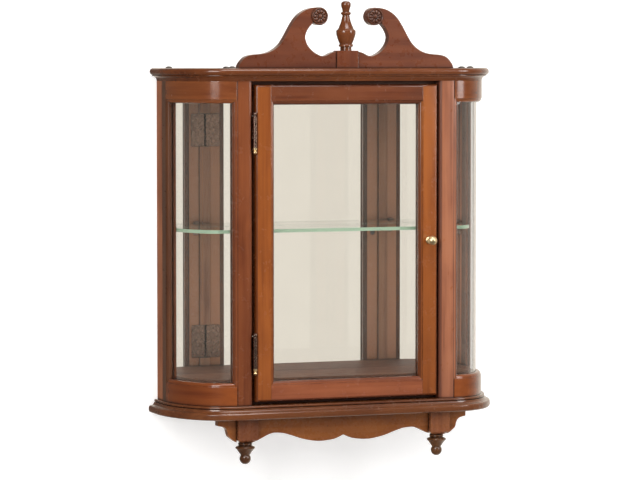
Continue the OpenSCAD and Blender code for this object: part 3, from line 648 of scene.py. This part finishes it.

# %% [markdown]
# A board has one grain direction, and no two boards are alike, so each group of
# boards gets its own material with its own seed and stain. The door's stiles are the
# most orange pieces and the crown, the base and the pediment the darkest. The right
# post is stained paler than the left: painted sheen, for the soft box on the right that
# shines in it. The side boards are stained paler too: painted sheen from the room on
# their left. Each row gives the material's name, its grain, the stain's middle tone,
# the lacquer's roughness and the boards.

# %% Boards and their stains
BOARDS = [
    ("door_stile_wood", "up", (0.255, 0.066, 0.012), 0.22, [
        "door_stile_left", "door_stile_right"]),
    ("door_top_wood", "across", (0.15, 0.040, 0.014), 0.22, ["door_top_rail"]),
    ("door_bottom_wood", "across", (0.235, 0.064, 0.026), 0.22, ["door_bottom_rail"]),
    ("left_post_wood", "up", (0.18, 0.046, 0.014), 0.22, ["front_post_left"]),
    # The right post's paler stain is painted sheen.
    ("right_post_wood", "up", (0.31, 0.108, 0.052), 0.3, ["front_post_right"]),
    ("top_bend_wood", "bent", (0.235, 0.066, 0.018), 0.2, [
        "side_top_rail_left", "side_top_rail_right"]),
    ("low_bend_wood", "bent", (0.215, 0.050, 0.010), 0.2, [
        "side_bottom_rail_left", "side_bottom_rail_right"]),
    ("side_bead_wood", "bent", (0.15, 0.046, 0.018), 0.34, [
        "side_beads_left", "side_beads_right"]),
    ("rear_stile_wood", "up", (0.11, 0.036, 0.013), 0.3, [
        "rear_stile_left", "rear_stile_right"]),
    # The side boards' paler stain is painted sheen.
    ("side_board_wood", "up", (0.38, 0.135, 0.063), 0.34, [
        "rear_side_board_left", "rear_side_board_right"]),
    ("crown_wood", "across", (0.131, 0.033, 0.008), 0.22, ["crown_board", "cornice_board"]),
    ("base_wood", "across", (0.145, 0.043, 0.013), 0.22, ["base_board"]),
    ("pediment_wood", "across", (0.133, 0.034, 0.013), 0.28, [
        "scroll_board_left", "scroll_board_right"]),
    ("plinth_wood", "up", (0.155, 0.037, 0.011), 0.28, ["pediment_plinth"]),
    ("carved_wood", "across", (0.12, 0.034, 0.013), 0.3, ["rosette_left", "rosette_right"]),
    ("finial_wood", "up", (0.14, 0.038, 0.011), 0.18, ["top_finial"]),
    ("drop_wood", "up", (0.10, 0.038, 0.014), 0.2, ["drop_finial_left", "drop_finial_right"]),
    ("apron_wood", "across", (0.25, 0.076, 0.017), 0.26, [
        "front_apron", "wing_bracket_left", "wing_bracket_right"]),
    ("block_wood", "up", (0.22, 0.070, 0.026), 0.26, [
        "corner_block_left", "corner_block_right"]),
    ("inner_rail_wood", "across", (0.15, 0.046, 0.018), 0.36, [
        "hanging_rail", "lower_back_rail", "front_top_rail", "front_bottom_rail"]),
    ("stop_wood", "up", (0.44, 0.21, 0.12), 0.36, ["door_stops"]),
    ("floor_wood", "across", (0.10, 0.038, 0.019), 0.45, ["floor_board"]),
    ("door_bead_wood", "up", (0.13, 0.042, 0.016), 0.36, ["door_glass_beads"]),
]
print(sum(len(row[-1]) for row in BOARDS), "boards in", len(BOARDS), "groups")

# %% [markdown]
# What is inside the cabinet got little lacquer, or none. The next lists name those
# boards with their coat and their gloss, and the boards that get painted shade on the
# faces that don't look to the front.

# %% Finish the boards
FULL_LACQUER = (0.7, 0.35)
LESS_LACQUER = {"floor_wood": (0.0, 0.04), "inner_rail_wood": (0.1, 0.3),
                "stop_wood": (0.1, 0.3), "side_board_wood": (0.1, 0.2),
                "side_bead_wood": (0.2, 0.3)}
TURNED_SHADE_AMOUNT = {"door_stile_wood": 0.9, "door_top_wood": 0.7, "door_bottom_wood": 0.7,
         "left_post_wood": 0.5, "right_post_wood": 0.95}


def dress(name, material):
    """Gives a CAD node a finish, in every slot that it has."""
    for slot in nodes[name].material_slots:
        slot.material = material


for seed, (name, grain, middle_tone, polish, members) in enumerate(BOARDS, start=1):
    coat, shine = LESS_LACQUER.get(name, FULL_LACQUER)
    finish = cherry(name, grain, middle_tone, seed, polish, coat, shine, TURNED_SHADE_AMOUNT.get(name, 0))
    for member in members:
        dress(member, finish)
print("boards finished")

# %% [markdown]
# ## Eased arrises
# A shop breaks each sharp arris with fine paper before it stains, so where two boards
# meet there is a small V-shaped groove, and the glaze stays in it. The frame's arrises
# are dead sharp. Each board is copied here, its triangles are joined back into whole
# faces, and each corner sharper than 28 degrees is rounded by half a millimetre. That
# only takes wood away, so no board grows out of its CAD box. Turned and carved pieces
# keep their own crisp lines.

# %% Standing in for a board
SMOOTH = math.radians(17)
body_of = {node: body for body, members in frame["record"]["behaviour"]["bodies"].items()
           for node in members}


def adopt(piece, name):
    """The piece stands for a CAD node and moves with its body."""
    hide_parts(name)
    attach(piece, body_of[name])


def new_piece(name, made, material, sharp=SMOOTH):
    """An object from a bmesh, with its gentle curves shaded smooth."""
    mesh = bpy.data.meshes.new(name)
    made.to_mesh(mesh)
    made.free()
    mesh.materials.append(material)
    mesh.polygons.foreach_set("use_smooth", [True] * len(mesh.polygons))
    mesh.set_sharp_from_angle(angle=sharp)
    piece = bpy.data.objects.new(name, mesh)
    scene.collection.objects.link(piece)
    return piece


# %% [markdown]
# The bevel works on the whole board at once. Triangles in one plane are dissolved
# first, or it would also cut along the seams between them.

# %% Eased boards
EASE = 0.0005
EASE_STEPS = 2
EASE_ROUNDNESS = 0.7
SHARP = math.radians(28)
ONE_PLANE = math.radians(0.3)
WELD = 1e-6
NOT_EASED = ("top_finial", "drop_finial_left", "drop_finial_right", "rosette_left",
             "rosette_right")


def eased(name):
    """A copy of a board with its sharp arrises rounded."""
    source = nodes[name]
    made = bmesh.new()
    made.from_mesh(source.data)
    bmesh.ops.remove_doubles(made, verts=made.verts, dist=WELD)
    bmesh.ops.dissolve_limit(made, angle_limit=ONE_PLANE, verts=made.verts,
                             edges=made.edges)
    arrises = [edge for edge in made.edges
               if len(edge.link_faces) == 2 and edge.calc_face_angle(0) > SHARP]
    bmesh.ops.bevel(made, geom=arrises, offset=EASE, offset_type="OFFSET",
                    segments=EASE_STEPS, profile=EASE_ROUNDNESS, affect="EDGES",
                    clamp_overlap=False)
    for face in made.faces:
        face.material_index = 0
    piece = new_piece(name + "_eased", made, source.material_slots[0].material)
    adopt(piece, name)
    return len(arrises)


to_ease = [member for row in BOARDS for member in row[-1] if member not in NOT_EASED]
arris_counts = [eased(member) for member in to_ease]
print(sum(arris_counts), "arrises eased on", len(to_ease), "boards")

# %% [markdown]
# ## Carved rosettes
# Each scroll ends in a small carved rosette: a button, ten petals round it and a
# rolled rim. A carver cuts it with gouges from a turned disc. Here it is a disc of
# rings. Each ring has a radius and two heights, in the valleys between the petals and
# on their crests, all as shares of the disc's own radius and height.

# %% Rosettes
PETALS = 10
PETAL_FULLNESS = 0.7
AROUND = 160
CARVED_SHARP = math.radians(50)
ROSETTE_RINGS = [
    (0.04, 1.0, 1.0), (0.11, 0.97, 0.97), (0.17, 0.88, 0.88), (0.215, 0.74, 0.74),
    (0.24, 0.46, 0.46), (0.28, 0.36, 0.40), (0.34, 0.30, 0.58), (0.44, 0.28, 0.74),
    (0.54, 0.28, 0.80), (0.64, 0.28, 0.76), (0.72, 0.28, 0.62), (0.775, 0.28, 0.40),
    (0.81, 0.28, 0.28), (0.845, 0.44, 0.44), (0.88, 0.60, 0.60), (0.92, 0.67, 0.67),
    (0.96, 0.60, 0.60), (0.99, 0.42, 0.42), (1.0, 0.2, 0.2), (1.0, 0.0, 0.0)]


def rosette_ring(made, middle, wall_side, radius, height, row):
    """One ring of points, higher on the petals than between them."""
    share, valley, crest = row
    ring = []
    for step in range(AROUND):
        turn = math.tau * step / AROUND
        petal = abs(math.cos(turn * PETALS / 2)) ** PETAL_FULLNESS
        rise = height * (valley + (crest - valley) * petal)
        ring.append(made.verts.new((middle.x + radius * share * math.cos(turn),
                                    wall_side - rise,
                                    middle.z + radius * share * math.sin(turn))))
    return ring


def rosette(name):
    """A carved disc in the place of a CAD rosette."""
    corner, far_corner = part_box(name)
    middle = (corner + far_corner) / 2
    radius = (far_corner.x - corner.x) / 2
    height = far_corner.y - corner.y
    made = bmesh.new()
    rings = [rosette_ring(made, middle, far_corner.y, radius, height, row)
             for row in ROSETTE_RINGS]
    for inner, outer in zip(rings, rings[1:]):
        for step in range(AROUND):
            following = (step + 1) % AROUND
            made.faces.new((inner[step], inner[following], outer[following], outer[step]))
    made.faces.new(rings[0][::-1])
    made.faces.new(rings[-1])
    bmesh.ops.recalc_face_normals(made, faces=made.faces)
    finish = nodes[name].material_slots[0].material
    adopt(new_piece(name + "_carved", made, finish, CARVED_SHARP), name)


rosette("rosette_left")
rosette("rosette_right")
print("two rosettes of", PETALS, "petals")

# %% [markdown]
# ## The back panel
# Nobody sees the board behind the mirror, so the shop leaves it raw: a thin sheet
# with a plain, pale face and a wide figure.

# %% Raw back panel
SHEET_FIGURE = ((1.2, 30.0, 30.0), 4.0, 0.6, 1.2)
SHEET_FIBRE = ((30.0, 900.0, 900.0), 3.0, 0.6, 0.0)
SHEET_TONES = [(0.0, (0.30, 0.17, 0.085)), (0.5, (0.42, 0.26, 0.14)),
               (1.0, (0.50, 0.34, 0.20))]
SHEET_SPAN = (0.3, 0.7)
SHEET_PORES = (0.22, 0.12, 0.06)
SHEET_PORES_DARK = (0.5, 0.3, 0.0, 0.4)
SHEET_ROUGHNESS = (0.6, 0.8)
SHEET_RELIEF = (0.3, 0.0003)
SHEET_SEED = 31


def raw_board(name):
    """A plain sheet of wood without stain or lacquer."""
    material, r = new_material(name)
    at = along_grain(r, "up", SHEET_SEED)
    fibre = stretched(r, at, SHEET_FIBRE)
    tone = r.ramp(r.spread(stretched(r, at, SHEET_FIGURE), *SHEET_SPAN), SHEET_TONES)
    tone = r.blend(r.spread(fibre, *SHEET_PORES_DARK), tone, SHEET_PORES)
    r.surface(r.node("ShaderNodeBsdfPrincipled", {
        "Base Color": tone, "Roughness": r.spread(fibre, *SHEET_SPAN, *SHEET_ROUGHNESS),
        "Normal": r.bump(*SHEET_RELIEF, fibre)}).outputs[0])
    return material


dress("back_panel", raw_board("raw_back_board"))
print("back panel is raw")

# %% [markdown]
# ## Glass
# A pane is clear, smooth and a little uneven, and lets light into the cabinet. A true
# glass shader blocks lamps, so rays that go to a lamp pass through a Transparent
# shader instead. The shelf is thicker plate glass: its ground edges look pale green,
# because they show the colour of all the glass behind them.

# %% Panes and shelf
PANE_TINT = (0.985, 0.99, 0.985)
SHELF_TINT = (0.95, 0.985, 0.965)
SHELF_EDGE_TINT = (0.30, 0.42, 0.31)
GLASS_BENDS = 1.5
# A noise: waves a metre, detail, roughness
GLASS_WAVE = (9.0, 2.0, 0.5)
GLASS_SMEAR = (55.0, 4.0, 0.65)
# A relief: strength, height in metres
GLASS_RELIEF = (0.05, 0.002)
SMEAR_ROUGHNESS = (0.45, 0.75, 0.0, 0.02)
EDGE_FACES = (0.9, 0.6)
EDGE_ROUGHNESS = 0.22
EDGE_CLEAR = 0.35


def ground_edge(r, pane, edge_tint):
    """The pane's shader, with a ground face where it doesn't look up or down."""
    upright = r.spread(r.math("ABSOLUTE", r.split(r.face())[2]), *EDGE_FACES)
    ground = r.node("ShaderNodeBsdfPrincipled", {
        "Base Color": (*edge_tint, 1), "Roughness": EDGE_ROUGHNESS, "IOR": GLASS_BENDS,
        "Transmission Weight": EDGE_CLEAR}).outputs[0]
    return r.mix_shader(upright, pane, ground)


def clear_glass(name, tint, edge_tint=None):
    """Clear glass, with ground edges if they have a tint."""
    material, r = new_material(name)
    place = r.place()
    pane = r.node("ShaderNodeBsdfPrincipled", {
        "Base Color": (*tint, 1), "IOR": GLASS_BENDS, "Transmission Weight": 1.0,
        "Roughness": r.spread(r.noise(place, *GLASS_SMEAR), *SMEAR_ROUGHNESS),
        "Normal": r.bump(*GLASS_RELIEF, r.noise(place, *GLASS_WAVE))}).outputs[0]
    if edge_tint:
        pane = ground_edge(r, pane, edge_tint)
    lamp_ray = r.node("ShaderNodeLightPath").outputs["Is Shadow Ray"]
    open_way = r.node("ShaderNodeBsdfTransparent", {"Color": (*tint, 1)}).outputs[0]
    r.surface(r.mix_shader(lamp_ray, pane, open_way))
    return material


pane_glass = clear_glass("pane_glass", PANE_TINT)
for pane_name in ("side_glass_left", "side_glass_right", "door_glass"):
    dress(pane_name, pane_glass)
dress("glass_shelf", clear_glass("shelf_glass", SHELF_TINT, SHELF_EDGE_TINT))
print("three panes and a shelf")

# %% [markdown]
# The mirror is glass silvered at the back. From the front only the silver shows, so
# the whole sheet is a very smooth metal, a touch green, as plain mirror glass is. Its
# tone and its polish drift a little from place to place.

# %% Mirror
SILVER = (0.86, 0.865, 0.86)
DULLER_SILVER = (0.845, 0.85, 0.845)
SILVER_CLOUD = (14.0, 4.0, 0.6)
SILVER_SPAN = (0.4, 0.7)
SILVER_ROUGHNESS = (0.3, 0.8, 0.004, 0.012)


def silvered(name):
    """A smooth metal for silvered glass."""
    material, r = new_material(name)
    cloud = r.noise(r.place(), *SILVER_CLOUD)
    r.surface(r.node("ShaderNodeBsdfPrincipled", {
        "Base Color": r.blend(r.spread(cloud, *SILVER_SPAN), SILVER, DULLER_SILVER),
        "Metallic": 1.0, "Roughness": r.spread(cloud, *SILVER_ROUGHNESS)}).outputs[0])
    return material


dress("mirror", silvered("mirror_silver"))
print("mirror in place")

# %% [markdown]
# ## Brass and steel
# The knob is brass, polished and then left to go soft. The hinges and the shelf clips
# were darkened. The lower tip of each hinge pin is painted bright where it stands in
# front of the door's face: a painted highlight. The screws of the crown and the knob,
# the catch and its plate are plain dark steel. A metal is dull in its hollows and
# bright on its arrises, and wear says how much of it the arrises take.

# %% Metal
GRIT = (900.0, 4.0, 0.65)
TARNISH = (120.0, 3.0, 0.6)
METAL_RELIEF = (0.02, 0.0002)
TARNISH_SHARE = (0.25, 0.6, 0.85, 1.0)
TARNISH_SPAN = (0.3, 0.7)
METAL_HOLLOW_REACH = 0.003
METAL_AO_SAMPLES = 6
METAL_HOLLOW = (0.35, 0.95)
METAL_ARRIS = 0.0005
METAL_ARRIS_TURN = (0.99, 0.86)
BRIGHTER, DULLER = 0.05, 0.08
DOOR_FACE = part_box("door_stile_left")[0].y
TIP_FADE = 0.0006
TIP_HIGHLIGHT_COLOUR = (0.95, 0.74, 0.42)


def painted_highlight_tip(r, colour, tip_top):
    """Painted highlight: bright below a height, but only in front of the door's face."""
    _, y, z = r.split(r.place())
    below = r.spread(z, tip_top + TIP_FADE, tip_top - TIP_FADE)
    in_front = r.spread(y, DOOR_FACE + TIP_FADE, DOOR_FACE - TIP_FADE)
    # Painted highlight on the lower tip of the pin.
    return r.blend(r.math("MULTIPLY", below, in_front), colour, TIP_HIGHLIGHT_COLOUR)


def metal(name, bright, dull, rough, wear, tip_top=None):
    """A worn metal, with a painted highlight below a height if one is given."""
    material, r = new_material(name)
    place = r.place()
    tarnish = r.noise(place, *TARNISH)
    rounded = r.rounded_face(METAL_ARRIS)
    hollow = r.spread(r.openness(METAL_HOLLOW_REACH, METAL_AO_SAMPLES), *METAL_HOLLOW)
    arris = r.spread(r.vector("DOT_PRODUCT", rounded, r.face()), *METAL_ARRIS_TURN)
    shown = r.math("ADD", r.math("MULTIPLY", hollow, 1 - wear),
                   r.math("MULTIPLY", arris, wear), clamp=True)
    shown = r.math("MULTIPLY", shown, r.spread(tarnish, *TARNISH_SHARE))
    colour = r.blend(shown, dull, bright)
    if tip_top is not None:
        colour = painted_highlight_tip(r, colour, tip_top)
    r.surface(r.node("ShaderNodeBsdfPrincipled", {
        "Base Color": colour, "Metallic": 1.0,
        "Roughness": r.spread(tarnish, *TARNISH_SPAN, rough - BRIGHTER, rough + DULLER),
        "Normal": r.bump(*METAL_RELIEF, r.noise(place, *GRIT), rounded)}).outputs[0])
    return material


print("the door's face is at", round(DOOR_FACE, 4))

# %% [markdown]
# Each hinge gets its own brass, because its painted highlight lies at its own height:
# the lowest eleven millimetres of its pin. A row gives the bright and the dull colour,
# the roughness and the wear.

# %% Finish the metals
TIP_LENGTH = 0.011
KNOB_BRASS = ((0.95, 0.78, 0.48), (0.55, 0.40, 0.18), 0.38, 0.15)
OLD_BRASS = ((0.50, 0.33, 0.26), (0.17, 0.10, 0.075), 0.28, 0.4)
HINGE_BRASS = ((0.38, 0.25, 0.20), (0.13, 0.08, 0.06), 0.26, 0.5)
DARK_STEEL = ((0.20, 0.17, 0.15), (0.05, 0.042, 0.038), 0.38, 0.4)
dress("door_knob", metal("polished_brass", *KNOB_BRASS))
old_brass = metal("old_brass", *OLD_BRASS)
dark_steel = metal("dark_steel", *DARK_STEEL)
for hinge in ("upper_hinge", "lower_hinge"):
    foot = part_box(hinge + "_pin")[0].z
    hinge_brass = metal(hinge + "_brass", *HINGE_BRASS, foot + TIP_LENGTH)
    for part in ("_post_leaf", "_door_leaf", "_pin"):
        dress(hinge + part, hinge_brass)
for name in ("hinge_post_screws", "hinge_door_screws", "shelf_clips", "clip_screws"):
    dress(name, old_brass)
for name in ("crown_screws", "knob_screw", "magnetic_catch", "strike_plate"):
    dress(name, dark_steel)
print("metals in place")
